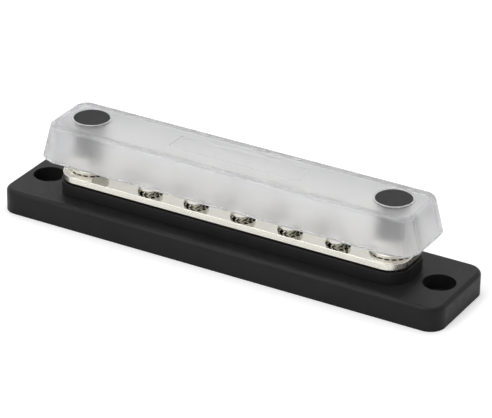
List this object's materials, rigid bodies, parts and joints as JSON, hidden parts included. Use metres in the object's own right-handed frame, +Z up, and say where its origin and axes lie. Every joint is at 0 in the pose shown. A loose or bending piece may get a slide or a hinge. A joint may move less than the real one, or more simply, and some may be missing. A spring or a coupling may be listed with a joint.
{
  "type": "busbar with cover",
  "caption": "Long black busbar base with a plated bar, staggered terminal screws, feed studs with flange nuts, and a frosted lift-off cover held by push-on caps.",
  "frame": {"origin": "middle of the base's mounting face", "axes": "+X along the bar, +Z up out of the mounting face"},
  "size_m": [0.165, 0.035, 0.0342],
  "materials": {
    "base_plastic": "black moulded plastic with a fine satin grain",
    "bar_plating": "brass with bright tin plating",
    "stud_steel": "stainless steel, machined",
    "nut_plating": "bright stainless steel",
    "screw_plating": "bright plated steel",
    "washer_steel": "plated spring steel",
    "cover_frosted": "frosted translucent plastic",
    "cap_plastic": "matte black plastic"
  },
  "bodies": {
    "base": {"base": "base_plastic", "bar": "bar_plating", "stud_left": "stud_steel", "stud_right": "stud_steel"},
    "cover": {"cover": "cover_frosted", "cap_left": "cap_plastic", "cap_right": "cap_plastic"},
    "nut_left": {"nut_left": "nut_plating"},
    "nut_right": {"nut_right": "nut_plating"},
    "lock_washer_1": {"lock_washer_1": "washer_steel"},
    "screw_1": {"screw_1": "screw_plating"},
    "lock_washer_2": {"lock_washer_2": "washer_steel"},
    "screw_2": {"screw_2": "screw_plating"},
    "lock_washer_3": {"lock_washer_3": "washer_steel"},
    "screw_3": {"screw_3": "screw_plating"},
    "lock_washer_4": {"lock_washer_4": "washer_steel"},
    "screw_4": {"screw_4": "screw_plating"},
    "lock_washer_5": {"lock_washer_5": "washer_steel"},
    "screw_5": {"screw_5": "screw_plating"},
    "lock_washer_6": {"lock_washer_6": "washer_steel"},
    "screw_6": {"screw_6": "screw_plating"},
    "lock_washer_7": {"lock_washer_7": "washer_steel"},
    "screw_7": {"screw_7": "screw_plating"},
    "lock_washer_8": {"lock_washer_8": "washer_steel"},
    "screw_8": {"screw_8": "screw_plating"},
    "lock_washer_9": {"lock_washer_9": "washer_steel"},
    "screw_9": {"screw_9": "screw_plating"},
    "lock_washer_10": {"lock_washer_10": "washer_steel"},
    "screw_10": {"screw_10": "screw_plating"}
  },
  "joints": [
    {"name": "cover_lift", "type": "slide", "parent": "base", "child": "cover", "axis": [0, 0, 1], "range_m": [0, 0.04]},
    {"name": "nut_left_turn", "type": "hinge", "parent": "base", "child": "nut_left", "pos_m": [-0.05683, 0, 0.0157], "axis": [0, 0, 1], "continuous": true},
    {"name": "nut_right_turn", "type": "hinge", "parent": "base", "child": "nut_right", "pos_m": [0.05683, 0, 0.0157], "axis": [0, 0, 1], "continuous": true},
    {"name": "lock_washer_1_rise", "type": "slide", "parent": "base", "child": "lock_washer_1", "axis": [0, 0, 1], "range_m": [0, 0.00794]},
    {"name": "screw_1_turn", "type": "hinge", "parent": "lock_washer_1", "child": "screw_1", "pos_m": [-0.03982, 0.00455, 0.0169], "axis": [0, 0, 1], "range_deg": [0, 3600]},
    {"name": "lock_washer_2_rise", "type": "slide", "parent": "base", "child": "lock_washer_2", "axis": [0, 0, 1], "range_m": [0, 0.00794]},
    {"name": "screw_2_turn", "type": "hinge", "parent": "lock_washer_2", "child": "screw_2", "pos_m": [-0.03097, -0.00455, 0.0169], "axis": [0, 0, 1], "range_deg": [0, 3600]},
    {"name": "lock_washer_3_rise", "type": "slide", "parent": "base", "child": "lock_washer_3", "axis": [0, 0, 1], "range_m": [0, 0.00794]},
    {"name": "screw_3_turn", "type": "hinge", "parent": "lock_washer_3", "child": "screw_3", "pos_m": [-0.02212, 0.00455, 0.0169], "axis": [0, 0, 1], "range_deg": [0, 3600]},
    {"name": "lock_washer_4_rise", "type": "slide", "parent": "base", "child": "lock_washer_4", "axis": [0, 0, 1], "range_m": [0, 0.00794]},
    {"name": "screw_4_turn", "type": "hinge", "parent": "lock_washer_4", "child": "screw_4", "pos_m": [-0.01328, -0.00455, 0.0169], "axis": [0, 0, 1], "range_deg": [0, 3600]},
    {"name": "lock_washer_5_rise", "type": "slide", "parent": "base", "child": "lock_washer_5", "axis": [0, 0, 1], "range_m": [0, 0.00794]},
    {"name": "screw_5_turn", "type": "hinge", "parent": "lock_washer_5", "child": "screw_5", "pos_m": [-0.00443, 0.00455, 0.0169], "axis": [0, 0, 1], "range_deg": [0, 3600]},
    {"name": "lock_washer_6_rise", "type": "slide", "parent": "base", "child": "lock_washer_6", "axis": [0, 0, 1], "range_m": [0, 0.00794]},
    {"name": "screw_6_turn", "type": "hinge", "parent": "lock_washer_6", "child": "screw_6", "pos_m": [0.00443, -0.00455, 0.0169], "axis": [0, 0, 1], "range_deg": [0, 3600]},
    {"name": "lock_washer_7_rise", "type": "slide", "parent": "base", "child": "lock_washer_7", "axis": [0, 0, 1], "range_m": [0, 0.00794]},
    {"name": "screw_7_turn", "type": "hinge", "parent": "lock_washer_7", "child": "screw_7", "pos_m": [0.01328, 0.00455, 0.0169], "axis": [0, 0, 1], "range_deg": [0, 3600]},
    {"name": "lock_washer_8_rise", "type": "slide", "parent": "base", "child": "lock_washer_8", "axis": [0, 0, 1], "range_m": [0, 0.00794]},
    {"name": "screw_8_turn", "type": "hinge", "parent": "lock_washer_8", "child": "screw_8", "pos_m": [0.02212, -0.00455, 0.0169], "axis": [0, 0, 1], "range_deg": [0, 3600]},
    {"name": "lock_washer_9_rise", "type": "slide", "parent": "base", "child": "lock_washer_9", "axis": [0, 0, 1], "range_m": [0, 0.00794]},
    {"name": "screw_9_turn", "type": "hinge", "parent": "lock_washer_9", "child": "screw_9", "pos_m": [0.03097, 0.00455, 0.0169], "axis": [0, 0, 1], "range_deg": [0, 3600]},
    {"name": "lock_washer_10_rise", "type": "slide", "parent": "base", "child": "lock_washer_10", "axis": [0, 0, 1], "range_m": [0, 0.00794]},
    {"name": "screw_10_turn", "type": "hinge", "parent": "lock_washer_10", "child": "screw_10", "pos_m": [0.03982, -0.00455, 0.0169], "axis": [0, 0, 1], "range_deg": [0, 3600]}
  ],
  "couplings": [
    {"joint": "screw_1_turn", "follows": "lock_washer_1_rise", "rad_per_m": 7915.8},
    {"joint": "screw_2_turn", "follows": "lock_washer_2_rise", "rad_per_m": 7915.8},
    {"joint": "screw_3_turn", "follows": "lock_washer_3_rise", "rad_per_m": 7915.8},
    {"joint": "screw_4_turn", "follows": "lock_washer_4_rise", "rad_per_m": 7915.8},
    {"joint": "screw_5_turn", "follows": "lock_washer_5_rise", "rad_per_m": 7915.8},
    {"joint": "screw_6_turn", "follows": "lock_washer_6_rise", "rad_per_m": 7915.8},
    {"joint": "screw_7_turn", "follows": "lock_washer_7_rise", "rad_per_m": 7915.8},
    {"joint": "screw_8_turn", "follows": "lock_washer_8_rise", "rad_per_m": 7915.8},
    {"joint": "screw_9_turn", "follows": "lock_washer_9_rise", "rad_per_m": 7915.8},
    {"joint": "screw_10_turn", "follows": "lock_washer_10_rise", "rad_per_m": 7915.8}
  ]
}
